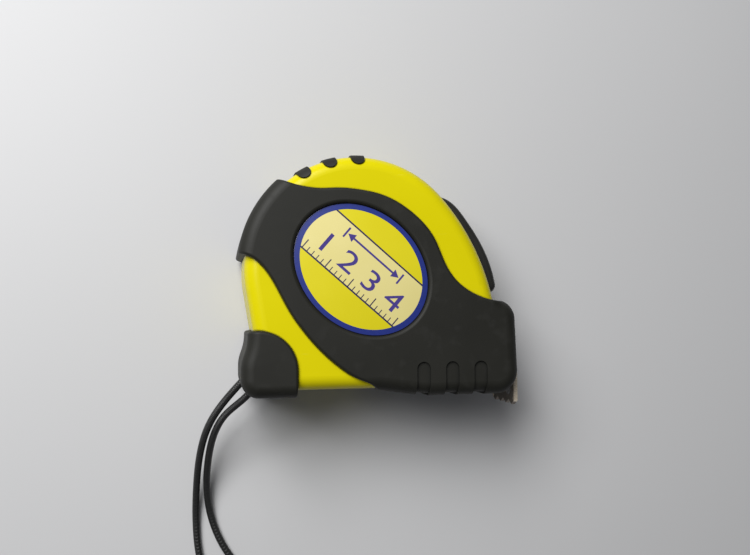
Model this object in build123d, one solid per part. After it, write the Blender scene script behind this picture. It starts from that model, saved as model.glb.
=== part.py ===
"""Pocket tape measure: two plastic shells with rubber overmoulds, a sprung reel, a hollow steel blade
with a floating hook, a thumb lock that runs on the shoulder, and a wrist cord on a pin in the heel.

Millimetres, +Z up. The case lies on its rear grip, +X points out of the mouth and +Y to the top of the
case. The origin is on the drum axis, at the resting face. The halves are drawn about their parting plane
and lifted to it at the end.
"""

import os
from math import asin, cos, degrees, hypot, radians, sin, sqrt, tan

from build123d import *

# Blade and hook
BLADE_WIDTH = 16.0
BLADE_THICK = 0.15
BLADE_SAG = 0.8
BLADE_TAIL = 8.0
BLADE_GAP = 0.3
HOOK_THICK = 1.0
HOOK_OVERHANG = 0.4
HOOK_DROP = 7.9
HOOK_GAP = 0.3
HOOK_FLANGE = 8.0
HOOK_FLOAT = 1.0
HOOK_TEETH = 4
TOOTH_HEIGHT = 1.2
RIVET_RADIUS = 0.9
RIVET_HEAD = 1.6
RIVET_HEAD_HEIGHT = 0.4
RIVET_FIRST = 1.8
RIVET_PITCH = 3.4
RIVET_SLACK = 0.05
MAGNET_RADIUS = 1.9
MAGNET_PROUD = 0.5
MAGNET_SPACING = 8.0
MAGNET_DROP = 3.6

# Reel, coil, spring and arbor
COIL_RADIUS = 26.6
COIL_BUILD = 4.5
COIL_TURNS = 6
COIL_LEAF = 0.3
COIL_SEAT_GAP = 0.05
REEL_RIM = 1.3
REEL_WEB = 2.0
COVER_GAP = 0.05
ARBOR_RADIUS = 4.0
ARBOR_SEAT = 1.8
RUNNING_GAP = 0.05
SEAT_GAP = 0.02
SPRING_TURNS = 9
SPRING_LEAF = 0.5
SPRING_GAP = 0.4
SPRING_TANG = 2.0
SPRING_SLOT_GAP = 0.1

# Plastic case
COIL_GAP = 0.8
CASE_WALL = 1.8
FACE_WALL = 2.2
GUIDE_RING = 2.6
GUIDE_RING_WALL = 1.2
SIDE_GAP = 1.0
EDGE_ROUND = 3.6
SHOULDER_ANGLE = 42.0
SHOULDER_RADIUS = 59.5
FLANK_ANGLE = 189.5
BROW_RUN = 4.9
NOSE_TOP = -9.65
BROW_FALL = 1.7
NOSE_LEAN = 0.8
HEEL_ROUND = 4.6
CHIN_ROUND = 4.8
BROW_ROUND = 4.6
NOOK_ROUND = 0.7
CAVITY_ROUND = 2.0
GUIDE_THICK = 0.4
GUIDE_LENGTH = 10.0
GUIDE_SIDE_GAP = 0.3
MOUTH_ROOM = 0.8
MOUTH_RISE = 2.3
MOUTH_BACK = 0.6
SEAM_CHAMFER = 0.25

# Rubber overmoulds
GRIP_FACE = 1.3
GRIP_SIDE = 1.8
GRIP_NOSE = 0.9
SOLE_THICK = 2.1
SOLE_START = 0.4
RAMP_X = 4.2
RAMP_LENGTH = 12.0
RAMP_ROUND = 15.0
GRIP_EDGE_ROUND = 3.5
GRIP_CHIN_ROUND = 6.0
GRIP_BROW_ROUND = 5.0
GRIP_NOOK_ROUND = 0.5
GRIP_HEEL_ROUND = 5.0
GRIP_LIP_ROUND = 0.7
GRIP_BROW_LIFT = 0.2
WINDOW_ROUND = 0.9
WINDOW_GAP = 0.2
GROOVE_COUNT = 3
GROOVE_WIDTH = 3.5
GROOVE_PITCH = 7.55
GROOVE_DEPTH = 0.6
GROOVE_LAST = 10.2
GROOVE_TOP = 8.8
HEEL_RADIUS = 9.7
HEEL_BACK = 1.3
HEEL_RISE = 5.2
HEEL_LIP = 1.3
HEEL_WAIST = 2.4
HEEL_BULGE = 5.5
HEEL_CORNER = 4.6
HEEL_DROP = 1.7
HEEL_EDGE_ROUND = 3.2
STUD_ANGLES = (91.1, 105.7, 120.3)
STUD_WIDTH = 3.4
STUD_RISE = 0.5
STUD_DROP = 2.2

# Edges of the grip on the case face: angle about the drum axis, share of the radius in from the rim
GRIP_TOP_EDGE = (
    (133.8, -0.13),
    (127.4, 0.09),
    (117.2, 0.215),
    (104.7, 0.27),
    (90.8, 0.307),
    (75.7, 0.321),
    (50.0, 0.325),
    (22.8, 0.293),
    (7.3, 0.265),
    (-4.3, 0.178),
)
GRIP_HEEL_EDGE = (
    (173.4, -0.15),
    (176.8, 0.125),
    (184.1, 0.21),
    (196.2, 0.266),
    (210.3, 0.282),
    (226.0, 0.27),
    (241.9, 0.221),
    (256.9, 0.138),
    (268.0, 0.058),
    (275.4, -0.004),
    (279.2, -0.1),
    (280.4, -0.25),
)

# Label
LABEL_END_MARGIN = 10.7
LABEL_SIDE_MARGIN = 14.25
LABEL_TURN = -41.0
LABEL_THICK = 0.4

# Screws
BOSS_RADIUS = 2.6
BOSS_SINK = 0.4
BOSS_ANGLE = 244.5
SCREW_RADIUS = 1.25
SCREW_HOLE_GAP = 0.15
SCREW_HEAD = 1.9
SCREW_HEAD_HEIGHT = 1.5
SCREW_HEAD_GAP = 0.25
SCREW_SINK = 3.0
SCREW_REACH = 8.0
PILOT_GAP = 0.02
PILOT_SPARE = 1.0
DRIVE_WIDTH = 0.7
DRIVE_LENGTH = 2.6
DRIVE_DEPTH = 0.8
ARBOR_SCREW_REACH = 10.0

# Thumb lock, placed by arc length along the shoulder from the nook above the nose
LOCK_GAP = 0.4
LOCK_WIDTH = 13.0
LOCK_START = 3.8
LOCK_TRAVEL = 4.5
LOCK_ROUND = 1.4
LOCK_END_ROUND = 2.0
LOCK_PROFILE = ((29.5, 0.9), (26.0, 2.9), (20.0, 3.6), (13.0, 4.0), (5.0, 4.0), (0.0, 3.5))
STEM_START = 4.4
STEM_LENGTH = 4.1
STEM_WIDTH = 6.0
FLANGE_START = 2.6
FLANGE_LENGTH = 7.3
FLANGE_THICK = 1.5
FLANGE_WIDTH = 10.0
LEG_THICK = 2.4
LEG_WIDTH = 7.0
LEG_ROOT = 3.0
SHOE_HEIGHT = 3.0
SHOE_LIP = 0.8
SHOE_WIDTH = 8.0
SHOE_GAP = 0.1

# Wrist cord and its pin
CORD_DIAMETER = 1.9
PIN_RADIUS = 0.8
PIN_OUT = 2.0
PIN_HALF = 7.0
PIN_TURN_GAP = 0.15
PIN_LUG = 2.8
PIN_LUG_HALF = 9.0
CHANNEL_GAP = 0.5
CHANNEL_LENGTH = 12.0
CORD_PULL = 226.2
CORD_JOIN = 0.7
BEND_SHARE = 0.45
PIN_BEND_SHARE = 0.9

# The cord's loop: distances from its pin, and the share of the way up from the surface to that pin
CORD_LOOP = (
    (-4.7, -2.4, 1.0),
    (-6.7, -4.7, 0.97),
    (-8.8, -7.5, 0.88),
    (-10.8, -10.8, 0.76),
    (-12.6, -15.3, 0.6),
    (-13.9, -21.6, 0.39),
    (-14.6, -29.5, 0.15),
    (-14.8, -38.5, 0.0),
    (-14.1, -47.5, 0.0),
    (-11.7, -56.2, 0.0),
    (-6.8, -64.4, 0.0),
    (1.0, -71.2, 0.0),
    (11.4, -77.0, 0.0),
    (23.2, -80.6, 0.0),
    (35.0, -80.8, 0.0),
    (44.8, -77.2, 0.0),
    (48.9, -69.3, 0.0),
    (44.9, -61.6, 0.0),
    (35.4, -59.0, 0.0),
    (24.6, -61.0, 0.0),
    (14.2, -61.4, 0.0),
    (5.0, -58.8, 0.0),
    (-2.4, -53.2, 0.0),
    (-7.8, -45.8, 0.0),
    (-11.0, -37.6, 0.01),
    (-12.0, -29.2, 0.16),
    (-11.5, -21.6, 0.39),
    (-10.4, -15.7, 0.6),
    (-8.8, -11.6, 0.76),
    (-6.9, -8.8, 0.88),
    (-4.6, -6.7, 0.97),
    (-2.2, -4.8, 1.0),
)

# Sizes that follow from the ones above
CASE_RADIUS = COIL_RADIUS + COIL_GAP + CASE_WALL
LABEL_LONG = CASE_RADIUS - LABEL_END_MARGIN
LABEL_SHORT = CASE_RADIUS - LABEL_SIDE_MARGIN
HALF_BLADE = BLADE_WIDTH / 2
HALF_DEPTH = HALF_BLADE + SIDE_GAP + GUIDE_RING + FACE_WALL
CAVITY_DEPTH = HALF_DEPTH - FACE_WALL
MID_HEIGHT = HALF_DEPTH + GRIP_FACE
REEL_RADIUS = COIL_RADIUS - COIL_BUILD
BLADE_Y = -(COIL_RADIUS + BLADE_GAP + BLADE_SAG + BLADE_THICK)
BLADE_CURVE = (HALF_BLADE**2 + BLADE_SAG**2) / (2 * BLADE_SAG)
GUIDE_TOP = BLADE_Y - RUNNING_GAP
FLOOR_Y = GUIDE_TOP - GUIDE_THICK - CASE_WALL
SOLE_Y = FLOOR_Y - SOLE_THICK
HOOK_HALF = HALF_BLADE + HOOK_OVERHANG
MOUTH_DROP = HOOK_THICK + 2 * RIVET_SLACK + RIVET_HEAD_HEIGHT + BLADE_GAP
GRIP_TOP_Y = NOSE_TOP + GRIP_SIDE


def polar(radius, angle, centre=(0.0, 0.0)):
    """The point at this radius and angle in degrees about a centre."""
    return (
        centre[0] + radius * cos(radians(angle)),
        centre[1] + radius * sin(radians(angle)),
    )


SHOULDER_CENTRE = polar(CASE_RADIUS - SHOULDER_RADIUS, SHOULDER_ANGLE)
NOOK_ANGLE = degrees(asin((NOSE_TOP - SHOULDER_CENTRE[1]) / SHOULDER_RADIUS))
NOSE_REACH = polar(SHOULDER_RADIUS, NOOK_ANGLE, SHOULDER_CENTRE)[0] + BROW_RUN
HOOK_X = NOSE_REACH + GRIP_NOSE + HOOK_GAP
RIVETS_X = [HOOK_X - RIVET_FIRST - RIVET_PITCH * k for k in range(2)]
MOUTH_X = HOOK_X - HOOK_FLANGE - MOUTH_BACK
LOCK_TURN = degrees(LOCK_TRAVEL / SHOULDER_RADIUS)


def flank_point(side, y):
    """The point at height y on the straight left flank, moved out by side."""
    top = polar(CASE_RADIUS + side, FLANK_ANGLE)
    lean = -sin(radians(FLANK_ANGLE)) / cos(radians(FLANK_ANGLE))
    return (top[0] + (y - top[1]) * lean, y)


HEEL = flank_point(0.0, FLOOR_Y)
HEEL_CENTRE = (HEEL[0] - HEEL_BACK, HEEL[1] + HEEL_RISE)
PIN = (HEEL[0] - PIN_OUT, HEEL[1] + PIN_OUT)
HEEL_BOSS = polar(COIL_RADIUS + COIL_GAP + BOSS_RADIUS, BOSS_ANGLE)
NOSE_BOSS = (
    NOSE_REACH - NOSE_LEAN - CASE_WALL - BOSS_RADIUS + BOSS_SINK,
    NOSE_TOP - CASE_WALL - BOSS_RADIUS + BOSS_SINK,
)


def round_corner(face, point, radius):
    """Rounds the corner of a face that lies nearest to a point."""
    corner = min(face.vertices(), key=lambda v: hypot(v.X - point[0], v.Y - point[1]))
    return fillet(corner, radius)


def outline(side, base, nose, rounds):
    """The case seen from the front, moved out by side and nose.

    Base is its base line as points from heel to chin. Rounds are one radius for each of those points,
    then the brow and the nook.
    """
    rim = CASE_RADIUS + side
    top = NOSE_TOP + side
    brow = (NOSE_REACH + nose - NOSE_LEAN, top - BROW_FALL)
    shoulder = SHOULDER_RADIUS + side
    nook_angle = degrees(asin((top - SHOULDER_CENTRE[1]) / shoulder))
    nook = polar(shoulder, nook_angle, SHOULDER_CENTRE)
    face = make_face(
        [
            CenterArc((0, 0), rim, SHOULDER_ANGLE, FLANK_ANGLE - SHOULDER_ANGLE),
            Polyline(polar(rim, FLANK_ANGLE), *base, brow, nook),
            CenterArc(SHOULDER_CENTRE, shoulder, nook_angle, SHOULDER_ANGLE - nook_angle),
        ]
    )
    for corner, radius in zip((*base, brow, nook), rounds):
        face = round_corner(face, corner, radius)
    return face


def top_face(solid):
    """The highest flat face."""
    return solid.faces().filter_by(GeomType.PLANE).sort_by(Axis.Z)[-1]


def domed(face, depth, edge_round):
    """A face drawn out to depth, with its far rim rounded."""
    block = extrude(face, depth)
    return fillet(top_face(block).edges(), edge_round)


def case_outline(rise, rounds):
    """The plastic case seen from the front, grown by rise."""
    base_y = FLOOR_Y - rise
    base = (flank_point(rise, base_y), (NOSE_REACH + rise, base_y))
    return outline(rise, base, rise, rounds)


def case_half(rise=0.0):
    """Half of the case as a full block, grown by rise."""
    rounds = (HEEL_ROUND + rise, CHIN_ROUND + rise, BROW_ROUND + rise, NOOK_ROUND)
    return domed(case_outline(rise, rounds), HALF_DEPTH + rise, EDGE_ROUND + rise)


def grip_half(inset=0.0):
    """Half of the block that the rubber grip fills out, shrunk by inset. Its sole ramps to the nose."""
    side = GRIP_SIDE - inset
    front = NOSE_REACH + GRIP_NOSE - inset
    sole_y = SOLE_Y + inset
    thin_y = FLOOR_Y - SOLE_START + inset
    base = (flank_point(side, thin_y), (RAMP_X, thin_y), (RAMP_X + RAMP_LENGTH, sole_y), (front, sole_y))
    rounds = (
        GRIP_HEEL_ROUND - inset,
        RAMP_ROUND,
        RAMP_ROUND,
        GRIP_CHIN_ROUND - inset,
        GRIP_BROW_ROUND - inset,
        GRIP_NOOK_ROUND,
    )
    face = outline(side, base, GRIP_NOSE - inset, rounds)
    return domed(face, HALF_DEPTH + GRIP_FACE - inset, GRIP_EDGE_ROUND - inset)


def rod(point, radius, low, high):
    """A round bar along Z between two heights."""
    return Pos(point[0], point[1], low) * extrude(Circle(radius), high - low)


def bar(x0, x1, y0, y1, z0, z1):
    """A square block between two corners."""
    middle = Pos((x0 + x1) / 2, (y0 + y1) / 2, (z0 + z1) / 2)
    return middle * Box(x1 - x0, y1 - y0, z1 - z0)


def lock_angle(along):
    """The angle about the shoulder's centre of a place along the shoulder."""
    return NOOK_ANGLE + degrees(along / SHOULDER_RADIUS)


def lock_point(along, height):
    """A place along the shoulder, at a height over it."""
    return polar(SHOULDER_RADIUS + height, lock_angle(along), SHOULDER_CENTRE)


def shoulder_strip(start, length, low, high, width):
    """A curved block that follows the shoulder, centred on the parting plane."""
    first = lock_angle(start)
    sweep_angle = degrees(length / SHOULDER_RADIUS)
    face = make_face(
        [
            CenterArc(SHOULDER_CENTRE, SHOULDER_RADIUS + low, first, sweep_angle),
            CenterArc(SHOULDER_CENTRE, SHOULDER_RADIUS + high, first, sweep_angle),
            Line(lock_point(start, low), lock_point(start, high)),
            Line(lock_point(start + length, low), lock_point(start + length, high)),
        ]
    )
    return Pos(0, 0, -width / 2) * extrude(face, width)


def lock_slot():
    """The slot through the shoulder wall, long enough for the stem and its travel."""
    return shoulder_strip(
        STEM_START - LOCK_GAP,
        STEM_LENGTH + LOCK_TRAVEL + 2 * LOCK_GAP,
        -2 * CASE_WALL,
        CASE_WALL,
        STEM_WIDTH + 2 * LOCK_GAP,
    )


def mouth():
    """The opening that the blade, its hook flange and rivets pass through."""
    half = HALF_BLADE + MOUTH_ROOM
    ahead = HOOK_X + CASE_WALL
    return bar(MOUTH_X, ahead, BLADE_Y - MOUTH_DROP, BLADE_Y + MOUTH_RISE, -half, half)


def cord_channel():
    """The slot at the parting plane that lets the cord round its pin and out of the heel corner."""
    half = CORD_DIAMETER / 2 + CHANNEL_GAP
    reach = PIN_RADIUS + PIN_TURN_GAP + CORD_DIAMETER + CHANNEL_GAP
    run = Pos(CHANNEL_LENGTH / 2, 0) * Rectangle(CHANNEL_LENGTH, 2 * reach)
    face = Pos(*PIN) * Rot(0, 0, CORD_PULL) * (Circle(reach) + run)
    return Pos(0, 0, -half) * extrude(face, 2 * half)


def shell_half():
    """What both shells share: walls, guide ring, arbor seat, screw bosses and the cord pin's lug."""
    rounds = (CAVITY_ROUND, CAVITY_ROUND, CAVITY_ROUND, NOOK_ROUND + CASE_WALL / 2)
    hollow = extrude(case_outline(-CASE_WALL, rounds), CAVITY_DEPTH)
    inner_face = HALF_BLADE + SIDE_GAP
    ring_radius = COIL_RADIUS - GUIDE_RING_WALL
    ring = rod((0, 0), ring_radius, inner_face, CAVITY_DEPTH)
    ring -= rod((0, 0), ring_radius - GUIDE_RING_WALL, inner_face, CAVITY_DEPTH)
    seat = rod((0, 0), ARBOR_RADIUS + ARBOR_SEAT, inner_face, CAVITY_DEPTH)
    seat -= rod((0, 0), ARBOR_RADIUS + SEAT_GAP, inner_face, CAVITY_DEPTH)
    block = case_half()
    seam = block.faces().filter_by(GeomType.PLANE).sort_by(Axis.Z)[0].edges()
    shell = chamfer(seam, SEAM_CHAMFER) - hollow + ring + seat
    for boss in (HEEL_BOSS, NOSE_BOSS):
        shell += rod(boss, BOSS_RADIUS, 0, CAVITY_DEPTH) & block
    shell += rod(PIN, PIN_LUG, 0, PIN_LUG_HALF)
    shell -= rod(PIN, PIN_RADIUS + SEAT_GAP, 0, PIN_HALF)
    return shell - cord_channel() - mouth() - lock_slot()


def make_front_shell():
    shell = shell_half()
    for boss in (HEEL_BOSS, NOSE_BOSS):
        shell -= rod(boss, SCREW_RADIUS + PILOT_GAP, 0, SCREW_REACH + PILOT_SPARE)
    shell -= rod((0, 0), SCREW_RADIUS + SCREW_HOLE_GAP, CAVITY_DEPTH, HALF_DEPTH)
    seat = HALF_DEPTH - SCREW_HEAD_HEIGHT
    return shell - rod((0, 0), SCREW_HEAD + SCREW_HEAD_GAP, seat, HALF_DEPTH)


def make_rear_shell():
    shell = shell_half()
    for boss in (HEEL_BOSS, NOSE_BOSS):
        shell -= rod(boss, SCREW_RADIUS + SCREW_HOLE_GAP, 0, HALF_DEPTH)
        shell -= rod(boss, SCREW_HEAD + SCREW_HEAD_GAP, HALF_DEPTH - SCREW_SINK, HALF_DEPTH)
    return mirror(shell, Plane.XY)


def grip_area():
    """The part of the front view that the rubber grip covers."""
    top = [polar(CASE_RADIUS * (1 - share), angle) for angle, share in GRIP_TOP_EDGE]
    brow_y = GRIP_TOP_Y + GRIP_BROW_LIFT
    nook_x = SHOULDER_CENTRE[0] + sqrt(SHOULDER_RADIUS**2 - (brow_y - SHOULDER_CENTRE[1]) ** 2)
    top.append((nook_x - GRIP_SIDE, brow_y))
    top.append((NOSE_REACH, brow_y))
    heel = [polar(CASE_RADIUS * (1 - share), angle) for angle, share in GRIP_HEEL_EDGE]
    far_x = HOOK_X + GRIP_SIDE
    far_y = heel[-1][1]
    return make_face(
        [
            Spline(*top),
            Polyline(top[-1], (far_x, top[-1][1]), (far_x, far_y), heel[-1]),
            Spline(*heel),
            Line(heel[0], top[0]),
        ]
    )


def grip_grooves():
    """The arched thumb grooves on the nose, cut to one depth from the face round to the sole."""
    length = GROOVE_TOP - GROOVE_WIDTH / 2
    bottom = SOLE_Y - GRIP_SIDE
    shape = Pos(0, GROOVE_TOP + SOLE_Y - GROOVE_WIDTH / 2) * Circle(GROOVE_WIDTH / 2)
    shape += Pos(0, bottom + (length + GRIP_SIDE) / 2) * Rectangle(GROOVE_WIDTH, length + GRIP_SIDE)
    last_x = NOSE_REACH - GROOVE_LAST
    tools = [
        Pos(last_x - GROOVE_PITCH * k, 0, 0) * extrude(shape, HALF_DEPTH + 2 * GRIP_FACE)
        for k in range(GROOVE_COUNT)
    ]
    return Part() + tools - grip_half(GROOVE_DEPTH)


def make_grip():
    """The rubber over one half: round the face, over the left shoulder and all of the nose."""
    grip = grip_half() & extrude(grip_area(), HALF_DEPTH + 2 * GRIP_FACE)
    grip = fillet(top_face(grip).edges().filter_by(GeomType.BSPLINE), GRIP_LIP_ROUND)
    return grip - case_half() - grip_grooves() - mouth()


def make_front_grip():
    window = Ellipse(LABEL_LONG + WINDOW_GAP, LABEL_SHORT + WINDOW_GAP, rotation=LABEL_TURN)
    grip = make_grip() - extrude(window, HALF_DEPTH + 2 * GRIP_FACE)
    rim = top_face(grip).inner_wires()[0].edges()
    return fillet(rim, WINDOW_ROUND)


def make_rear_grip():
    grip = make_grip() - rod(NOSE_BOSS, SCREW_HEAD + SCREW_HEAD_GAP, 0, HALF_DEPTH + 2 * GRIP_FACE)
    return mirror(grip, Plane.XY)


def make_heel_pad():
    """The rubber bumper on the heel corner of one half."""
    top_y = HEEL_CENTRE[1] + HEEL_RADIUS + HEEL_LIP
    left = HEEL[0] - HEEL_BULGE
    base_y = FLOOR_Y - HEEL_DROP
    top = flank_point(HEEL_LIP, top_y)
    waist = flank_point(HEEL_WAIST, (top_y + HEEL_CENTRE[1]) / 2)
    down_flank = polar(1.0, FLANK_ANGLE + 90)
    inner_x = HEEL_CENTRE[0] + 2 * HEEL_RADIUS
    face = make_face(
        [
            Spline(top, waist, (left, HEEL_CENTRE[1]), tangents=(down_flank, (0, -1))),
            Polyline((left, HEEL_CENTRE[1]), (left, base_y), (inner_x, base_y), (inner_x, top_y), top),
        ]
    )
    face = round_corner(face, (left, base_y), HEEL_CORNER)
    block = extrude(face, HALF_DEPTH + GRIP_FACE)
    rim = top_face(block).edges()
    outer = [edge for edge in rim if edge.center().X < HEEL[0] or edge.center().Y < FLOOR_Y]
    block = fillet(outer, HEEL_EDGE_ROUND)
    square = Rectangle(2 * HEEL_RADIUS, 2 * HEEL_RADIUS)
    reach = Pos(*HEEL_CENTRE) * (Circle(HEEL_RADIUS) + Pos(0, -HEEL_RADIUS) * square)
    pad = block & extrude(reach, HALF_DEPTH + 2 * GRIP_FACE)
    pad = fillet(top_face(pad).edges().filter_by(GeomType.CIRCLE), GRIP_LIP_ROUND)
    return pad - case_half() - rod(PIN, PIN_LUG, 0, PIN_LUG_HALF) - cord_channel()


def make_studs():
    """The rubber studs across the top edge of one half, with a round end down the face."""
    skin = case_half(STUD_RISE) - case_half()
    bar_end = extrude(SlotOverall(CASE_RADIUS, STUD_WIDTH), HALF_DEPTH + 2 * STUD_RISE)
    middle = CASE_RADIUS + CASE_RADIUS / 2 - STUD_DROP
    return Part() + [
        skin & (Pos(*polar(middle, angle)) * Rot(0, 0, angle) * bar_end) for angle in STUD_ANGLES
    ]


def make_label():
    oval = Ellipse(LABEL_LONG, LABEL_SHORT, rotation=LABEL_TURN)
    return Pos(0, 0, HALF_DEPTH) * extrude(oval, LABEL_THICK)


def screw(reach):
    """A cross-head screw along Z, its head on z = 0 and its shank pointing up."""
    solid = rod((0, 0), SCREW_HEAD, -SCREW_HEAD_HEIGHT, 0) + rod((0, 0), SCREW_RADIUS, 0, reach)
    for length, width in ((DRIVE_LENGTH, DRIVE_WIDTH), (DRIVE_WIDTH, DRIVE_LENGTH)):
        low = -SCREW_HEAD_HEIGHT
        solid -= bar(-length / 2, length / 2, -width / 2, width / 2, low, low + DRIVE_DEPTH)
    return solid


def make_case_screws():
    seat = HALF_DEPTH - SCREW_SINK
    return Part() + [Pos(*boss, -seat) * screw(seat + SCREW_REACH) for boss in (HEEL_BOSS, NOSE_BOSS)]


def make_arbor_screw():
    return Pos(0, 0, HALF_DEPTH - SCREW_HEAD_HEIGHT) * Rot(180, 0, 0) * screw(ARBOR_SCREW_REACH)


def make_arbor():
    """The post that the reel turns on, slit for the tang of the spring."""
    post = rod((0, 0), ARBOR_RADIUS, -CAVITY_DEPTH, CAVITY_DEPTH)
    hole_low = HALF_DEPTH - SCREW_HEAD_HEIGHT - ARBOR_SCREW_REACH - PILOT_SPARE
    post -= rod((0, 0), SCREW_RADIUS + PILOT_GAP, hole_low, CAVITY_DEPTH)
    half_slot = SPRING_LEAF / 2 + SPRING_SLOT_GAP
    slot_low = -HALF_BLADE + REEL_WEB
    slot_x = ARBOR_RADIUS - SPRING_TANG - SPRING_SLOT_GAP
    return post - bar(slot_x, 2 * ARBOR_RADIUS, -half_slot, half_slot, slot_low, -slot_low)


def spiral_face(inner, pitch, turns, leaf):
    """A flat spiral of half circles on two centres, wound outwards from (inner, 0)."""
    edges = []
    for inset in (0.0, leaf):
        for k in range(2 * turns):
            centre = (pitch / 2 * (k % 2), 0.0)
            radius = inner + inset + pitch / 2 * k
            edges.append(CenterArc(centre, radius, 180 * (k % 2), 180))
    outer = inner + pitch * turns
    edges.append(Line((inner, 0), (inner + leaf, 0)))
    edges.append(Line((outer, 0), (outer + leaf, 0)))
    return make_face(edges)


def make_blade_coil():
    """The wound length of the blade, as a spiral on the drum with its outer end at the bottom."""
    inner = REEL_RADIUS + COIL_SEAT_GAP
    pitch = (COIL_RADIUS - inner - COIL_LEAF) / (COIL_TURNS + 0.5)
    face = spiral_face(inner, pitch, COIL_TURNS, COIL_LEAF)
    return Pos(0, 0, -HALF_BLADE) * Rot(0, 0, -90) * extrude(face, BLADE_WIDTH)


def make_power_spring():
    """The flat spiral spring between arbor and drum, with the tang that sits in the arbor's slit."""
    half = HALF_BLADE - REEL_WEB - SPRING_GAP
    inner = ARBOR_RADIUS + SPRING_GAP
    outer = REEL_RADIUS - REEL_RIM - SPRING_GAP
    pitch = (outer - inner - SPRING_LEAF) / (SPRING_TURNS + 0.5)
    spring = extrude(spiral_face(inner, pitch, SPRING_TURNS, SPRING_LEAF), 2 * half)
    tang_x = ARBOR_RADIUS - SPRING_TANG
    spring += bar(tang_x, inner + SPRING_LEAF, -SPRING_LEAF / 2, SPRING_LEAF / 2, 0, 2 * half)
    return Pos(0, 0, -half) * spring


def make_reel_drum():
    """The drum that the blade winds on, open at the front."""
    drum = rod((0, 0), REEL_RADIUS, -HALF_BLADE, HALF_BLADE)
    drum -= rod((0, 0), REEL_RADIUS - REEL_RIM, -HALF_BLADE + REEL_WEB, HALF_BLADE)
    return drum - rod((0, 0), ARBOR_RADIUS + RUNNING_GAP, -HALF_BLADE, HALF_BLADE)


def make_reel_cover():
    cover = rod((0, 0), REEL_RADIUS - REEL_RIM - COVER_GAP, HALF_BLADE - REEL_WEB, HALF_BLADE)
    return cover - rod((0, 0), ARBOR_RADIUS + RUNNING_GAP, HALF_BLADE - REEL_WEB, HALF_BLADE)


def hollow_strip(x0, x1, low, high, half_width):
    """A strip along X with the blade's hollow section, between two heights over its lower face."""
    centre_y = BLADE_Y + BLADE_CURVE
    arcs = []
    for offset in (low, high):
        radius = BLADE_CURVE - offset
        edge_y = centre_y - sqrt(radius**2 - half_width**2)
        arcs.append(((-half_width, edge_y), (0, centre_y - radius), (half_width, edge_y)))
    face = make_face(
        [
            ThreePointArc(*arcs[0]),
            ThreePointArc(*arcs[1]),
            Line(arcs[0][0], arcs[1][0]),
            Line(arcs[0][2], arcs[1][2]),
        ]
    )
    across = Plane(origin=(x0, 0, 0), x_dir=(0, 0, -1), z_dir=(1, 0, 0))
    return across.location * extrude(face, x1 - x0)


def upright_rod(x, radius, low, high):
    """A round bar along Y on the middle line of the blade."""
    across = Plane(origin=(x, low, 0), x_dir=(1, 0, 0), z_dir=(0, 1, 0))
    return across.location * extrude(Circle(radius), high - low)


def make_blade():
    blade = hollow_strip(-BLADE_TAIL, HOOK_X, 0, BLADE_THICK, HALF_BLADE)
    for x in RIVETS_X:
        blade -= upright_rod(x, RIVET_RADIUS + SEAT_GAP, BLADE_Y - HOOK_THICK, BLADE_Y + HOOK_THICK)
    return blade


def make_hook_rivets():
    """Two rivets, fast in the blade, whose lower heads leave the hook free to float."""
    under = BLADE_Y - 2 * RIVET_SLACK - HOOK_THICK
    over = BLADE_Y + BLADE_THICK + RIVET_SLACK
    rivets = []
    for x in RIVETS_X:
        rivet = upright_rod(x, RIVET_RADIUS, under, over)
        rivet += upright_rod(x, RIVET_HEAD, under - RIVET_HEAD_HEIGHT, under)
        rivet += upright_rod(x, RIVET_HEAD, over, over + RIVET_HEAD_HEIGHT)
        rivets.append(rivet)
    return Part() + rivets


def make_end_hook():
    """The end hook: a slotted flange under the blade and a serrated plate across the mouth."""
    top = -RIVET_SLACK
    flange = hollow_strip(HOOK_X - HOOK_FLANGE, HOOK_X + HOOK_THICK, top - HOOK_THICK, top, HOOK_HALF)
    low = BLADE_Y - HOOK_DROP
    root = low + TOOTH_HEIGHT
    step = 2 * HOOK_HALF / HOOK_TEETH
    teeth = [(-HOOK_HALF, root)]
    for k in range(HOOK_TEETH):
        teeth.append((-HOOK_HALF + (k + 0.5) * step, low))
        teeth.append((-HOOK_HALF + (k + 1) * step, root))
    plate_top = BLADE_Y - RIVET_SLACK - HOOK_THICK / 2
    face = make_face(Polyline((-HOOK_HALF, plate_top), *teeth, (HOOK_HALF, plate_top), close=True))
    across = Plane(origin=(HOOK_X, 0, 0), x_dir=(0, 0, -1), z_dir=(1, 0, 0))
    hook = flange + across.location * extrude(face, HOOK_THICK)
    for x in RIVETS_X:
        slot = SlotCenterToCenter(HOOK_FLOAT, 2 * (RIVET_RADIUS + RIVET_SLACK))
        below = (x - HOOK_FLOAT / 2, BLADE_Y - 2 * HOOK_THICK, 0)
        upward = Plane(origin=below, x_dir=(1, 0, 0), z_dir=(0, 1, 0))
        hook -= upward.location * extrude(slot, 2 * HOOK_THICK)
    return hook - magnet_rods(MAGNET_RADIUS + SEAT_GAP)


def magnet_rods(radius):
    """Round bars through the hook plate where its magnets sit."""
    across = Plane(origin=(HOOK_X, BLADE_Y - MAGNET_DROP, 0), x_dir=(0, 0, -1), z_dir=(1, 0, 0))
    rods = [
        across.location * Pos(z, 0, 0) * extrude(Circle(radius), HOOK_THICK + MAGNET_PROUD)
        for z in (-MAGNET_SPACING / 2, MAGNET_SPACING / 2)
    ]
    return Part() + rods


def make_blade_guide():
    """The wear plate on the floor of the case, under the blade and the brake shoe."""
    half = HALF_BLADE + GUIDE_SIDE_GAP
    end = MOUTH_X
    return bar(end - GUIDE_LENGTH, end, GUIDE_TOP - GUIDE_THICK, GUIDE_TOP, -half, half)


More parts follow.
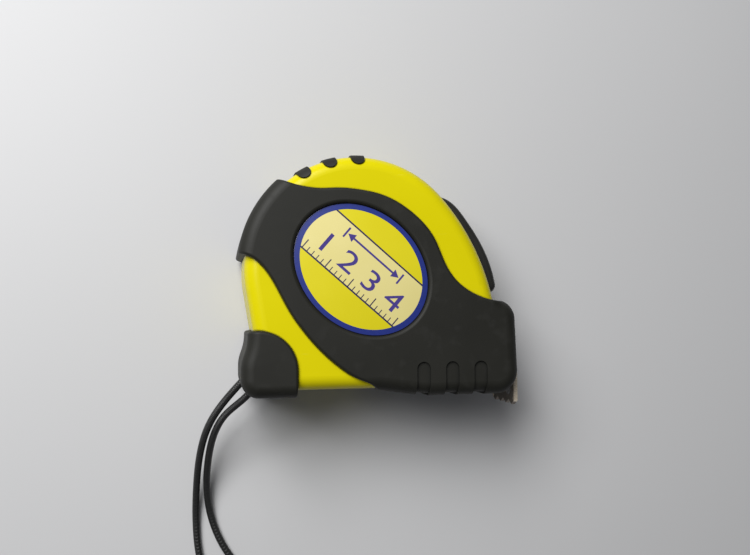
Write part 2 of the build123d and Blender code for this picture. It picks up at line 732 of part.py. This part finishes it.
def leg_foot():
    """The right hand end of the lock's foot, and the height of the shoe's sole."""
    spread = SHOE_WIDTH / 2
    curve = BLADE_CURVE - BLADE_THICK
    blade_top = BLADE_Y + BLADE_CURVE - sqrt(curve**2 - spread**2)
    return lock_point(FLANGE_START, -CASE_WALL - LOCK_GAP)[0], blade_top + SHOE_GAP


def make_thumb_lock():
    """The thumb button, its stem through the shoulder, the flange that keeps it in and the brake leg."""
    outer = [lock_point(LOCK_START + along, height) for along, height in LOCK_PROFILE]
    length = LOCK_PROFILE[0][0]
    start_angle = lock_angle(LOCK_START)
    under = CenterArc(
        SHOULDER_CENTRE,
        SHOULDER_RADIUS + LOCK_GAP,
        start_angle,
        lock_angle(LOCK_START + length) - start_angle,
    )
    face = make_face(
        [
            under,
            Spline(*outer),
            Line(lock_point(LOCK_START, LOCK_GAP), outer[-1]),
            Line(lock_point(LOCK_START + length, LOCK_GAP), outer[0]),
        ]
    )
    face = round_corner(face, outer[-1], LOCK_END_ROUND)
    button = extrude(face, LOCK_WIDTH / 2, both=True)
    rims = button.edges().group_by(Axis.Z)
    skirts = [edge for edge in rims[0] + rims[-1] if edge.geom_type != GeomType.LINE]
    skirts = [edge for edge in skirts if edge.length < length or edge.geom_type != GeomType.CIRCLE]
    lock = fillet(skirts, LOCK_ROUND)
    under_wall = -CASE_WALL - LOCK_GAP
    under_flange = under_wall - FLANGE_THICK
    lock += shoulder_strip(STEM_START, STEM_LENGTH, under_flange, 2 * LOCK_GAP, STEM_WIDTH)
    lock += shoulder_strip(FLANGE_START, FLANGE_LENGTH, under_flange, under_wall, FLANGE_WIDTH)
    foot_x, sole = leg_foot()
    foot_y = sole + SHOE_HEIGHT
    leg = make_face(
        Polyline(
            lock_point(FLANGE_START, under_wall),
            lock_point(FLANGE_START + LEG_ROOT, under_wall),
            lock_point(FLANGE_START + LEG_ROOT, under_flange),
            (foot_x - LEG_THICK, foot_y),
            (foot_x, foot_y),
            close=True,
        )
    )
    return lock + extrude(leg, LEG_WIDTH / 2, both=True)


def make_brake_shoe():
    foot_x, sole = leg_foot()
    half = SHOE_WIDTH / 2
    left = foot_x - LEG_THICK - SHOE_LIP
    return bar(left, foot_x + SHOE_LIP, sole, sole + SHOE_HEIGHT, -half, half)


def make_strap_pin():
    return rod(PIN, PIN_RADIUS, -PIN_HALF, PIN_HALF)


def cord_route():
    """The cord's points: round the pin, out of the heel, down to the surface, a loop, and back."""
    turn = PIN_RADIUS + PIN_TURN_GAP + CORD_DIAMETER / 2
    out = Vector(*polar(1.0, CORD_PULL), 0)
    side = Vector(*polar(1.0, CORD_PULL - 90), 0)
    pin = Vector(*PIN, MID_HEIGHT)
    rest = CORD_DIAMETER / 2
    join = side * (CORD_JOIN / 2)
    start = [pin - out * turn + join, pin - out * turn + side * turn]
    finish = [pin - out * turn - side * turn, pin - out * turn - join]
    free = [
        Vector(PIN[0] + x, PIN[1] + y, rest + share * (MID_HEIGHT - rest))
        for x, y, share in CORD_LOOP
    ]
    return start + free + finish


def make_wrist_strap():
    """One cord, swept along straight runs joined by arcs as large as the runs allow."""
    route = cord_route()
    radii = []
    for before, point, after in zip(route, route[1:], route[2:]):
        back = point - before
        ahead = after - point
        half_turn = radians(back.get_angle(ahead)) / 2
        radii.append(BEND_SHARE * min(back.length, ahead.length) / tan(half_turn))
    radii[0] = radii[-1] = PIN_BEND_SHARE * (route[1] - route[0]).length
    path = FilletPolyline(*route, radius=radii)
    print("cord radii", [round(radius, 1) for radius in radii])
    print("cord length", round(path.length, 1))
    section = Plane(origin=route[0], z_dir=route[1] - route[0]) * Circle(CORD_DIAMETER / 2)
    tube = sweep(section, path=path)
    swept = section.area * path.length
    print("cord volume over section times length", round(tube.volume / swept, 4))
    return tube


def main():
    halves = {
        "front_shell": make_front_shell(),
        "rear_shell": make_rear_shell(),
        "front_grip": make_front_grip(),
        "rear_grip": make_rear_grip(),
        "front_heel_pad": make_heel_pad(),
        "rear_heel_pad": mirror(make_heel_pad(), Plane.XY),
        "front_studs": make_studs(),
        "rear_studs": mirror(make_studs(), Plane.XY),
        "label": make_label(),
        "case_screws": make_case_screws(),
        "arbor": make_arbor(),
        "arbor_screw": make_arbor_screw(),
        "power_spring": make_power_spring(),
        "reel_drum": make_reel_drum(),
        "reel_cover": make_reel_cover(),
        "blade_coil": make_blade_coil(),
        "blade": make_blade(),
        "hook_rivets": make_hook_rivets(),
        "end_hook": make_end_hook(),
        "hook_magnets": magnet_rods(MAGNET_RADIUS),
        "blade_guide": make_blade_guide(),
        "thumb_lock": make_thumb_lock(),
        "brake_shoe": make_brake_shoe(),
        "strap_pin": make_strap_pin(),
    }
    pieces = {name: Pos(0, 0, MID_HEIGHT) * piece for name, piece in halves.items()}
    pieces["wrist_strap"] = make_wrist_strap()
    os.makedirs("parts", exist_ok=True)
    for name, piece in pieces.items():
        export_step(piece, f"parts/{name}.step")
    print("lock turns", round(LOCK_TURN, 3), "about", SHOULDER_CENTRE)
    print("blade at", BLADE_Y, "hook at", HOOK_X, "middle at", MID_HEIGHT)


main()
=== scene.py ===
import math

import bmesh
import bpy
from mathutils import Matrix, Vector


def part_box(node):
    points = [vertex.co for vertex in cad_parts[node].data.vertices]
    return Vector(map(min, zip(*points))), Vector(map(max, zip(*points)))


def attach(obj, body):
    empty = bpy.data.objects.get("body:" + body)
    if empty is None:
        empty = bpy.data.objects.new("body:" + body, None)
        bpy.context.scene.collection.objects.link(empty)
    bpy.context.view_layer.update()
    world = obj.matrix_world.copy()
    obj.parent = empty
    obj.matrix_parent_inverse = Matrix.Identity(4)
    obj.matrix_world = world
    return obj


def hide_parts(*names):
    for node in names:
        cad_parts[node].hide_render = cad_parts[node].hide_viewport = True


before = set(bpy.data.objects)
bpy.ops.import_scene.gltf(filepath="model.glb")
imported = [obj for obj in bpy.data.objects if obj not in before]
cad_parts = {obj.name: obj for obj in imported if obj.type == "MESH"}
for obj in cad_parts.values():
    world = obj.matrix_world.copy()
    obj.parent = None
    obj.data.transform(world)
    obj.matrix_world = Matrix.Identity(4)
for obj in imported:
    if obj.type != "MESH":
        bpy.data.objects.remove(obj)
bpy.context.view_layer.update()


# Front and rear shells: two halves of the case, injection moulded in glossy yellow ABS and screwed
# together. The mould is polished, so the skin has a faint orange peel and hairline rubs from use.
class Shade:
    """A shader socket on which sums are written as on a number."""

    def __init__(self, socket):
        self.socket = socket

    def sum(self, operation, other=0.0, swapped=False):
        tree = self.socket.id_data
        node = tree.nodes.new("ShaderNodeMath")
        node.operation = operation
        sides = (other, self) if swapped else (self, other)
        for slot, side in zip(node.inputs, sides):
            if isinstance(side, Shade):
                tree.links.new(side.socket, slot)
            else:
                slot.default_value = side
        return Shade(node.outputs[0])

    def __add__(self, other):
        return self.sum("ADD", other)

    def __sub__(self, other):
        return self.sum("SUBTRACT", other)

    def __rsub__(self, other):
        return self.sum("SUBTRACT", other, swapped=True)

    def __mul__(self, other):
        return self.sum("MULTIPLY", other)

    def __truediv__(self, other):
        return self.sum("DIVIDE", other)

    def __gt__(self, other):
        return self.sum("GREATER_THAN", other)

    def __lt__(self, other):
        return self.sum("LESS_THAN", other)

    def __abs__(self):
        return self.sum("ABSOLUTE")

    __radd__ = __add__
    __rmul__ = __mul__


class Finish:
    """One surface finish: a material and the nodes that make it."""

    def __init__(self, name):
        self.material = bpy.data.materials.new(name)
        self.material.use_nodes = True
        self.tree = self.material.node_tree
        self.tree.nodes.clear()
        self.place = self.node("TexCoord", output="Object")

    def node(self, kind, settings=None, inputs=None, output=0):
        made = self.tree.nodes.new("ShaderNode" + kind)
        for name, value in (settings or {}).items():
            if name == "stops":
                for element, position in zip(made.color_ramp.elements, value):
                    element.position = position
            else:
                setattr(made, name, value)
        for name, value in (inputs or {}).items():
            if isinstance(value, Shade):
                self.tree.links.new(value.socket, made.inputs[name])
            else:
                made.inputs[name].default_value = value
        return Shade(made.outputs[output]) if made.outputs else None

    def grain(self, size, detail=2.0, stretch=(1.0, 1.0, 1.0)):
        """Cloudy noise whose features are about size metres wide."""
        vector = self.node("Mapping", None, {"Vector": self.place, "Scale": stretch})
        return self.node("TexNoise", None, {"Vector": vector, "Scale": 1 / size, "Detail": detail})

    def spots(self, value, low, high):
        """The share by which a value has risen from low to high."""
        return self.node("ValToRGB", {"stops": (low, high)}, {"Fac": value})

    def mix(self, share, first, second):
        return self.node("Mix", {"data_type": "RGBA"}, {0: share, 6: first, 7: second}, output=2)

    def crevice(self, reach):
        """How far a place is shut in by what stands within reach of it."""
        return 1 - self.node("AmbientOcclusion", {"samples": 8}, {"Distance": reach}, output="AO")

    def relief(self, height, depth):
        """A bump of that depth in metres."""
        return self.node("Bump", None, {"Height": height, "Distance": depth, "Strength": 1.0})

    def surface(self, inputs):
        shader = self.node("BsdfPrincipled", None, inputs)
        self.node("OutputMaterial", None, {"Surface": shader})

    def dress(self, *names):
        """Gives the finish to nodes of the frame."""
        for name in names:
            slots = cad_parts[name].data.materials
            slots.clear()
            slots.append(self.material)


shell_abs = Finish("yellow_abs")
shade_drift = shell_abs.grain(0.022, 3.0)
peel = shell_abs.grain(0.0011, 2.0)
rubs = shell_abs.spots(shell_abs.grain(0.006, 4.0, (1.0, 9.0, 1.0)), 0.66, 0.74)
rub_breaks = shell_abs.spots(shell_abs.grain(0.009, 2.0), 0.5, 0.62)
worn = rubs * rub_breaks
shell_colour = shell_abs.mix(shade_drift, (0.64, 0.555, 0.001, 1), (0.71, 0.63, 0.002, 1))
# Painted shade: the shell is darkened to near black in crevices, where it meets the rubber, by ambient
# occlusion.
crevice_painted_shade = shell_abs.spots(shell_abs.crevice(0.0011), 0.26, 0.46)
rubbed_colour = shell_abs.mix(worn * 0.25, shell_colour, (0.76, 0.69, 0.12, 1))
shell_abs.surface({
    "Base Color": shell_abs.mix(crevice_painted_shade, rubbed_colour, (0.025, 0.022, 0.004, 1)),
    "Specular IOR Level": 0.2,
    "Roughness": 0.25 + shade_drift * 0.06 + worn * 0.2,
    "Normal": shell_abs.relief(peel + worn * 0.6, 0.000003),
})
shell_abs.dress("front_shell", "rear_shell")


# Grips, heel pads and studs: dark thermoplastic rubber moulded over the shells, and the brake shoe.
# The mould is spark eroded, so the rubber is matte with a fine stipple, and it holds a little dust.
rubber = Finish("grip_rubber")
stipple = rubber.grain(0.00022, 1.0)
mottle = rubber.grain(0.013, 4.0)
dust = rubber.spots(rubber.grain(0.0035, 6.0), 0.56, 0.78)
rubber_colour = rubber.mix(mottle, (0.0090, 0.0090, 0.0064, 1), (0.0148, 0.0146, 0.0110, 1))
dusty_colour = rubber.mix(dust * 0.3, rubber_colour, (0.028, 0.0276, 0.0248, 1))
rubber.surface({
    # Painted shade: the rubber is darkened to near black in crevices and at the foot of its lips, by
    # ambient occlusion.
    "Base Color": rubber.mix(rubber.crevice(0.0012), dusty_colour, (0.002, 0.002, 0.0018, 1)),
    "Roughness": 0.54 + mottle * 0.1 + dust * 0.12,
    "Specular IOR Level": 0.34,
    "Normal": rubber.relief(stipple, 0.000018),
})
rubber.dress("front_grip", "rear_grip", "front_heel_pad", "rear_heel_pad")
rubber.dress("front_studs", "rear_studs", "brake_shoe")


# Arbor, reel drum and reel cover: plain grey acetal mouldings that carry the blade and its spring.
# They are never seen or handled, so they keep the flow marks of the mould.
acetal = Finish("inner_acetal")
flow = acetal.grain(0.008, 3.0, (1.0, 1.0, 0.25))
acetal.surface({
    "Base Color": acetal.mix(flow, (0.035, 0.035, 0.038, 1), (0.06, 0.06, 0.065, 1)),
    "Roughness": 0.42 + flow * 0.12,
    "Normal": acetal.relief(acetal.grain(0.0006), 0.000008),
})
acetal.dress("arbor", "reel_drum", "reel_cover")


# Power spring and blade guide: blued spring steel strip, rolled and cut, the spring wound flat round the
# arbor. Rolling leaves fine lines along the strip.
blued = Finish("blued_steel")
rolled = blued.grain(0.0012, 3.0, (1.0, 1.0, 14.0))
blued.surface({
    "Base Color": blued.mix(rolled, (0.10, 0.105, 0.13, 1), (0.24, 0.235, 0.24, 1)),
    "Metallic": 1.0,
    "Roughness": 0.28 + rolled * 0.14,
    "Normal": blued.relief(rolled, 0.000004),
})
blued.dress("power_spring", "blade_guide")


# Blade and its wound coil: hollow spring steel strip, enamelled yellow, with a centimetre scale printed
# in black along both edges. The scale counts from the inner face of the hook.
blade_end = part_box("blade")[1].x
blade_mid = (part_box("blade")[0].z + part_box("blade")[1].z) / 2
blade_half = (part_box("blade")[1].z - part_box("blade")[0].z) / 2
enamel = Finish("blade_enamel")
split = {"Vector": enamel.place}
along = blade_end - enamel.node("SeparateXYZ", None, split, "X")
inset = blade_half - abs(enamel.node("SeparateXYZ", None, split, "Z") - blade_mid)
outward = {"Vector": enamel.node("NewGeometry", output="Normal")}
faces_up = enamel.node("SeparateXYZ", None, outward, "Y") > 0.5
scale_marks = (
    (0.001, 0.0026, 0.00016),
    (0.005, 0.0040, 0.0002),
    (0.01, 0.0056, 0.00026),
)
marks = None
for spacing, length, thick in scale_marks:
    nearest = abs((along / spacing + 0.5).sum("FRACT") - 0.5) * spacing
    mark = (nearest < thick / 2) * (inset < length)
    marks = mark if marks is None else marks.sum("MAXIMUM", mark)
marks = marks * faces_up
enamel_drift = enamel.grain(0.012, 3.0)
enamel_colour = enamel.mix(enamel_drift, (0.76, 0.57, 0.02, 1), (0.84, 0.66, 0.03, 1))
enamel.surface({
    "Base Color": enamel.mix(marks, enamel_colour, (0.012, 0.012, 0.014, 1)),
    "Roughness": 0.3 + enamel_drift * 0.12,
    "Normal": enamel.relief(enamel.grain(0.0009), 0.000004),
})
enamel.dress("blade", "blade_coil")


# Figures of the scale, printed in black between the two rows of marks, one for each centimetre.
# They lie on the hollow face of the strip and follow its curve.
def printed(name, words, size):
    """Plain figures as one flat mesh. Words are (text, matrix)."""
    sheet = bmesh.new()
    for text, matrix in words:
        curve = bpy.data.curves.new(name, "FONT")
        curve.body = text
        curve.size = size
        curve.align_x = "CENTER"
        curve.align_y = "CENTER"
        maker = bpy.data.objects.new(name, curve)
        flat = bpy.data.meshes.new_from_object(maker)
        flat.transform(matrix)
        sheet.from_mesh(flat)
        bpy.data.objects.remove(maker)
        bpy.data.curves.remove(curve)
        bpy.data.meshes.remove(flat)
    return sheet


def piece(name, shape, finish, body):
    """A finished piece of the object, made from a bmesh."""
    mesh = bpy.data.meshes.new(name)
    shape.to_mesh(mesh)
    shape.free()
    mesh.materials.append(finish.material)
    made = bpy.data.objects.new(name, mesh)
    bpy.context.scene.collection.objects.link(made)
    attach(made, body)
    return made


print_ink = Finish("black_print")
ink_density = print_ink.grain(0.0006, 3.0)
print_ink.surface({
    "Base Color": print_ink.mix(ink_density, (0.008, 0.008, 0.010, 1), (0.018, 0.018, 0.022, 1)),
    "Roughness": 0.34 + ink_density * 0.1,
})
blade_curve_radius = 0.0404
blade_thick = 0.00015
blade_top_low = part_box("blade")[0].y + blade_thick
centimetre = 0.01
scale_figure_size = 0.0046
scale_figure_ahead = 0.0021
scale_figure_lift = 0.00002
on_blade = Matrix(((-1, 0, 0), (0, 0, 1), (0, 1, 0))).to_4x4()
scale_figures = []
for count in range(1, 5):
    spot = Vector((blade_end - centimetre * count + scale_figure_ahead, blade_top_low, blade_mid))
    scale_figures.append((str(count), Matrix.Translation(spot) @ on_blade))
scale_sheet = printed("blade_figures", scale_figures, scale_figure_size)
for vert in scale_sheet.verts:
    across = vert.co.z - blade_mid
    hollow = blade_curve_radius - math.sqrt(blade_curve_radius**2 - across**2)
    vert.co.y = blade_top_low + hollow + scale_figure_lift
piece("blade_figures", scale_sheet, print_ink, "blade")


# End hook: a strip of mild steel, stamped, slotted and bent, with a coppery flash plating that has
# dulled. Its edge is toothed so that it bites on the work. Its two ends are painted pale and bright,
# partly for worn metal and partly as a painted highlight.
hook_low, hook_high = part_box("end_hook")
hook_half = (hook_high.z - hook_low.z) / 2
worn_glint_width = 0.0016
hook_steel = Finish("coppery_steel")
tarnish = hook_steel.grain(0.0016, 5.0)
brushed = hook_steel.grain(0.0007, 3.0, (1.0, 12.0, 1.0))
split = {"Vector": hook_steel.place}
end_gap = hook_half - abs(hook_steel.node("SeparateXYZ", None, split, "Z") - (hook_low.z + hook_half))
# Painted highlight: a band at each end, ragged with tarnish, is pale coppery, partly worn metal and
# partly a painted glint.
dull = hook_steel.spots(end_gap / worn_glint_width + tarnish * 1.6 - 0.9, 0.2, 0.5)
dulled = hook_steel.mix(tarnish, (0.30, 0.25, 0.20, 1), (0.15, 0.135, 0.12, 1))
hook_steel.surface({
    "Base Color": hook_steel.mix(dull, (0.98, 0.84, 0.66, 1), dulled),
    "Metallic": 0.6,
    "Roughness": 0.24 + dull * 0.2 + brushed * 0.08,
    "Normal": hook_steel.relief(brushed, 0.000006),
})
hook_steel.dress("end_hook")


# Hook magnets: two small nickel plated discs, pressed into the hook so that it holds on steel work.
# The plating is bright, with a little cloudiness.
nickel = Finish("nickel_plate")
cloud = nickel.grain(0.001, 4.0)
nickel.surface({
    "Base Color": nickel.mix(cloud, (0.60, 0.58, 0.55, 1), (0.72, 0.70, 0.67, 1)),
    "Metallic": 1.0,
    "Roughness": 0.18 + cloud * 0.16,
})
nickel.dress("hook_magnets")


# Thumb lock: a satin black plastic slider that runs in a slot on the shoulder and presses its shoe on
# the blade. The thumb polishes its outer face.
lock_plastic = Finish("lock_plastic")
lock_grain = lock_plastic.grain(0.00035, 2.0)
polish = lock_plastic.grain(0.007, 3.0)
lock_plastic.surface({
    "Base Color": lock_plastic.mix(polish, (0.014, 0.014, 0.0125, 1), (0.024, 0.0235, 0.021, 1)),
    "Roughness": 0.36 + polish * 0.14,
    "Normal": lock_plastic.relief(lock_grain, 0.000010),
})
lock_plastic.dress("thumb_lock")


# Screws, rivets and cord pin: zinc plated steel, turned and rolled. The plating has a faint bloom.
# Two screws close the case from the rear, one holds the arbor, and two rivets hold the hook.
zinc = Finish("zinc_plate")
bloom = zinc.grain(0.0009, 4.0)
zinc.surface({
    "Base Color": zinc.mix(bloom, (0.42, 0.42, 0.43, 1), (0.58, 0.58, 0.57, 1)),
    "Metallic": 1.0,
    "Roughness": 0.26 + bloom * 0.2,
    "Normal": zinc.relief(zinc.grain(0.0004), 0.000005),
})
zinc.dress("case_screws", "arbor_screw", "hook_rivets", "strap_pin")


# Label: printed vinyl film with a clear coat, stuck in the oval window of the front grip. It has a blue
# border, and a piece of ruler across it as its print. A thin rim round its edge is painted near black,
# a painted shadow for the groove between the film and the grip.
label_long = 0.0185
label_short = 0.01495
label_turn = math.radians(-41)
label_back, label_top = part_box("label")[0].z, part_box("label")[1].z
label_edge = 0.00022
groove_shadow_rim = 0.00018
film = bmesh.new()
bmesh.ops.create_circle(film, cap_ends=True, segments=180, radius=1.0)
bmesh.ops.scale(film, vec=(label_long + groove_shadow_rim, label_short + groove_shadow_rim, 1.0), verts=film.verts)
bmesh.ops.rotate(film, matrix=Matrix.Rotation(label_turn, 3, "Z"), verts=film.verts)
bmesh.ops.translate(film, vec=(0, 0, label_back), verts=film.verts)
risen = bmesh.ops.extrude_face_region(film, geom=film.faces[:])["geom"]
top_verts = [part for part in risen if isinstance(part, bmesh.types.BMVert)]
bmesh.ops.translate(film, vec=(0, 0, label_top - label_back), verts=top_verts)
bmesh.ops.recalc_face_normals(film, faces=film.faces)
just_under = label_top - 1e-6
rim = [edge for edge in film.edges if all(vert.co.z > just_under for vert in edge.verts)]
bmesh.ops.bevel(film, geom=rim, offset=label_edge, segments=4, profile=0.5, affect="EDGES", material=-1)
for face in film.faces:
    face.smooth = True
label_print = Finish("label_print")
turned_back = {"Vector": label_print.place, "Rotation": (0, 0, -label_turn)}
split = {"Vector": label_print.node("Mapping", None, turned_back)}
ruler_along = label_print.node("SeparateXYZ", None, split, "X")
ruler_across = label_print.node("SeparateXYZ", None, split, "Y")
oval = ((ruler_along / label_long) * (ruler_along / label_long)
        + (ruler_across / label_short) * (ruler_across / label_short)).sum("SQRT")
border_start = 0.918
band_low = -0.0058
band_high = 0.0072
rule = 0.00042
long_mark_pitch = 0.0075
band_marks = (
    (0.0015, 0.0014, 0.00024),
    (long_mark_pitch, 0.0026, 0.0003),
)
band = (ruler_across > band_low) * (ruler_across < band_high)
low_rule = abs(ruler_across - band_low) < rule / 2
high_rule = abs(ruler_across - band_high) < rule / 2
rules = low_rule.sum("MAXIMUM", high_rule)
for spacing, length, thick in band_marks:
    nearest = abs((ruler_along / spacing + 0.5).sum("FRACT") - 0.5) * spacing
    mark = (nearest < thick / 2) * (ruler_across > band_low) * (ruler_across < band_low + length)
    rules = rules.sum("MAXIMUM", mark)
fade = label_print.grain(0.011, 3.0)
fibre = label_print.grain(0.0005, 2.0)
field = label_print.mix(
    band,
    label_print.mix(fade, (0.68, 0.59, 0.005, 1), (0.74, 0.65, 0.012, 1)),
    label_print.mix(fade, (0.73, 0.64, 0.23, 1), (0.79, 0.70, 0.30, 1)),
)
field = label_print.mix(rules, field, (0.030, 0.024, 0.075, 1))
border = label_print.mix(fibre, (0.013, 0.026, 0.18, 1), (0.022, 0.038, 0.25, 1))
bordered = label_print.mix(oval > border_start, field, border)
# Painted shadow: the film's outer rim, beyond the oval of the print, is near black.
label_print.surface({
    "Base Color": label_print.mix(oval > 1.0, bordered, (0.010, 0.010, 0.014, 1)),
    "Roughness": 0.3 + fade * 0.08,
    "Coat Weight": 0.35,
    "Coat Roughness": 0.12,
    "Normal": label_print.relief(fibre, 0.000002),
})
label_film = piece("label_film", film, label_print, "case")
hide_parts("label")


# Ruler figures and the length arrow on the label, printed in blue violet over the cream band.
# They turn with the oval, and each figure stands midway between two long marks of the band.
violet_ink = Finish("violet_print")
violet_density = violet_ink.grain(0.0008, 3.0)
violet_ink.surface({
    "Base Color": violet_ink.mix(violet_density, (0.050, 0.034, 0.20, 1), (0.075, 0.052, 0.27, 1)),
    "Roughness": 0.3 + violet_density * 0.08,
    "Coat Weight": 0.35,
    "Coat Roughness": 0.12,
})
print_lift = 0.00001
to_label = Matrix.Translation((0, 0, label_top + print_lift)) @ Matrix.Rotation(label_turn, 4, "Z")
label_figure_size = 0.0072
label_figure_across = -0.0010
middle_count = 2.5
broad = Matrix.Diagonal((1.4, 1.05, 1, 1))
label_figures = []
for count in range(1, 5):
    spot = Vector((long_mark_pitch * (count - middle_count), label_figure_across, 0))
    label_figures.append((str(count), to_label @ Matrix.Translation(spot) @ broad))
label_sheet = printed("label_figures", label_figures, label_figure_size)
arrow_across = 0.0046
arrow_line = 0.0005
head_radius = 0.0013
head_along = 0.0072
stop_along = 0.0090
stop_long = 0.0030
shaft_long = 0.0131
for side in (-1, 1):
    head = bmesh.ops.create_circle(label_sheet, cap_ends=True, segments=3, radius=head_radius)["verts"]
    bmesh.ops.rotate(label_sheet, matrix=Matrix.Rotation(-side * math.pi / 2, 3, "Z"), verts=head)
    bmesh.ops.translate(label_sheet, vec=(side * head_along, arrow_across, 0), verts=head)
    stop = bmesh.ops.create_grid(label_sheet, x_segments=1, y_segments=1, size=0.5)["verts"]
    bmesh.ops.scale(label_sheet, vec=(arrow_line, stop_long, 1), verts=stop)
    bmesh.ops.translate(label_sheet, vec=(side * stop_along, arrow_across, 0), verts=stop)
    bmesh.ops.transform(label_sheet, matrix=to_label, verts=head + stop)
shaft = bmesh.ops.create_grid(label_sheet, x_segments=1, y_segments=1, size=0.5)["verts"]
bmesh.ops.scale(label_sheet, vec=(shaft_long, arrow_line, 1), verts=shaft)
bmesh.ops.translate(label_sheet, vec=(0, arrow_across, 0), verts=shaft)
bmesh.ops.transform(label_sheet, matrix=to_label, verts=shaft)
piece("label_figures", label_sheet, violet_ink, "case")


# Wrist strap: one length of braided black polyester cord, passed round the pin in the heel corner.
# Both strands come out of the slot together and lie in a loose loop on the table.
cord_thick = 0.0019
lying = cord_thick / 2
pin_height = 0.0151
cord_points = (
    (-0.0255, -0.0265, pin_height),
    (-0.0266, -0.0254, pin_height),
    (-0.0313, -0.0305, pin_height),
    (-0.0333, -0.0328, 0.0147),
    (-0.0354, -0.0356, 0.0134),
    (-0.0374, -0.0389, 0.0117),
    (-0.0392, -0.0434, 0.0094),
    (-0.0405, -0.0497, 0.0065),
    (-0.0412, -0.0576, 0.0031),
    (-0.0414, -0.0666, lying),
    (-0.0407, -0.0756, lying),
    (-0.0383, -0.0843, lying),
    (-0.0334, -0.0925, lying),
    (-0.0256, -0.0993, lying),
    (-0.0152, -0.1051, lying),
    (-0.0034, -0.1087, lying),
    (0.0084, -0.1089, lying),
    (0.0182, -0.1053, lying),
    (0.0223, -0.0974, lying),
    (0.0183, -0.0897, lying),
    (0.0088, -0.0871, lying),
    (-0.0020, -0.0891, lying),
    (-0.0124, -0.0895, lying),
    (-0.0216, -0.0869, lying),
    (-0.0290, -0.0813, lying),
    (-0.0344, -0.0739, lying),
    (-0.0376, -0.0657, 0.0011),
    (-0.0386, -0.0573, 0.0032),
    (-0.0381, -0.0497, 0.0065),
    (-0.0370, -0.0438, 0.0094),
    (-0.0354, -0.0397, 0.0117),
    (-0.0335, -0.0369, 0.0134),
    (-0.0312, -0.0348, 0.0147),
    (-0.0288, -0.0329, pin_height),
    (-0.0239, -0.0280, pin_height),
    (-0.0250, -0.0270, pin_height),
)
strap_line = bpy.data.curves.new("wrist_strap_cord", "CURVE")
strap_line.dimensions = "3D"
strap_line.bevel_depth = cord_thick / 2
strap_line.bevel_resolution = 4
strap_line.resolution_u = 10
strap_line.use_fill_caps = True
run = strap_line.splines.new("NURBS")
run.points.add(len(cord_points) - 1)
for point, spot in zip(run.points, cord_points):
    point.co = (*spot, 1.0)
run.order_u = 3
run.use_endpoint_u = True
strap = bpy.data.objects.new("wrist_strap_cord", strap_line)
bpy.context.scene.collection.objects.link(strap)
braid = Finish("braided_polyester")
split = {"Vector": braid.node("TexCoord", output="UV")}
braid_along = braid.node("SeparateXYZ", None, split, "X")
braid_round = braid.node("SeparateXYZ", None, split, "Y")
weaves_along = 330
yarns_round = 4
left_yarn = ((braid_along * weaves_along + braid_round * yarns_round) * (2 * math.pi)).sum("SINE")
right_yarn = ((braid_along * weaves_along - braid_round * yarns_round) * (2 * math.pi)).sum("SINE")
yarns = left_yarn.sum("MAXIMUM", right_yarn) * 0.5 + 0.5
fuzz = braid.grain(0.0004, 3.0)
# Painted sheen and shade: the crests of the yarns are painted lighter and the gaps between them darker,
# with random fuzz on top.
yarn_sheen_and_fuzz = yarns * 0.7 + fuzz * 0.3
braid.surface({
    "Base Color": braid.mix(yarn_sheen_and_fuzz, (0.004, 0.004, 0.004, 1), (0.018, 0.018, 0.0175, 1)),
    "Roughness": 0.52 - yarns * 0.14,
    "Normal": braid.relief(yarns + fuzz * 0.3, 0.00009),
})
strap_line.materials.append(braid.material)
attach(strap, "case")
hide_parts("wrist_strap")


# Floor, lights and camera: a plain pale floor, two soft square lights from the upper left in a dim room,
# and the camera nearly overhead, looking from the left as the photograph does.
floor_half = 1.5
floor_shape = bmesh.new()
bmesh.ops.create_grid(floor_shape, x_segments=1, y_segments=1, size=floor_half)
floor_mesh = bpy.data.meshes.new("floor")
floor_shape.to_mesh(floor_mesh)
floor_shape.free()
floor = bpy.data.objects.new("floor", floor_mesh)
bpy.context.scene.collection.objects.link(floor)
floor_paint = Finish("floor_paint")
floor_drift = floor_paint.grain(0.2, 2.0)
floor_paint.surface({
    "Base Color": floor_paint.mix(floor_drift, (0.56, 0.56, 0.565, 1), (0.60, 0.60, 0.605, 1)),
    "Roughness": 0.6,
})
floor_mesh.materials.append(floor_paint.material)

scene = bpy.context.scene
scene.view_settings.view_transform = "Standard"
room = bpy.data.worlds.new("room")
room.use_nodes = True
room.node_tree.nodes["Background"].inputs["Color"].default_value = (0.93, 0.95, 1.0, 1)
room.node_tree.nodes["Background"].inputs["Strength"].default_value = 0.11
scene.world = room
light_aim = Vector((0, 0, 0))
for name, spot, size, power in (
    ("window_light", (-0.23, 0.22, 0.40), 0.30, 2.65),
    ("ceiling_light", (-0.28, 0.66, 0.60), 0.40, 2.6),
):
    lamp = bpy.data.lights.new(name, "AREA")
    lamp.size = size
    lamp.energy = power
    holder = bpy.data.objects.new(name, lamp)
    holder.location = spot
    holder.rotation_euler = (light_aim - Vector(spot)).to_track_quat("-Z", "Y").to_euler()
    scene.collection.objects.link(holder)

lens = bpy.data.cameras.new("camera")
lens.sensor_width = 36.0
lens.lens = 38.0
lens.clip_start = 0.01
camera = bpy.data.objects.new("camera", lens)
camera_spot = Vector((-0.036, -0.012, 0.225))
camera_aim = Vector((0.0034, -0.0020, 0.0290))
camera_roll = math.radians(-0.5)
back = (camera_spot - camera_aim).normalized()
right = Vector((0, 1, 0)).cross(back).normalized()
upward = back.cross(right)
facing = Matrix((right, upward, back)).transposed()
rolled_view = facing @ Matrix.Rotation(camera_roll, 3, "Z")
camera.matrix_world = Matrix.Translation(camera_spot) @ rolled_view.to_4x4()
scene.collection.objects.link(camera)
scene.camera = camera
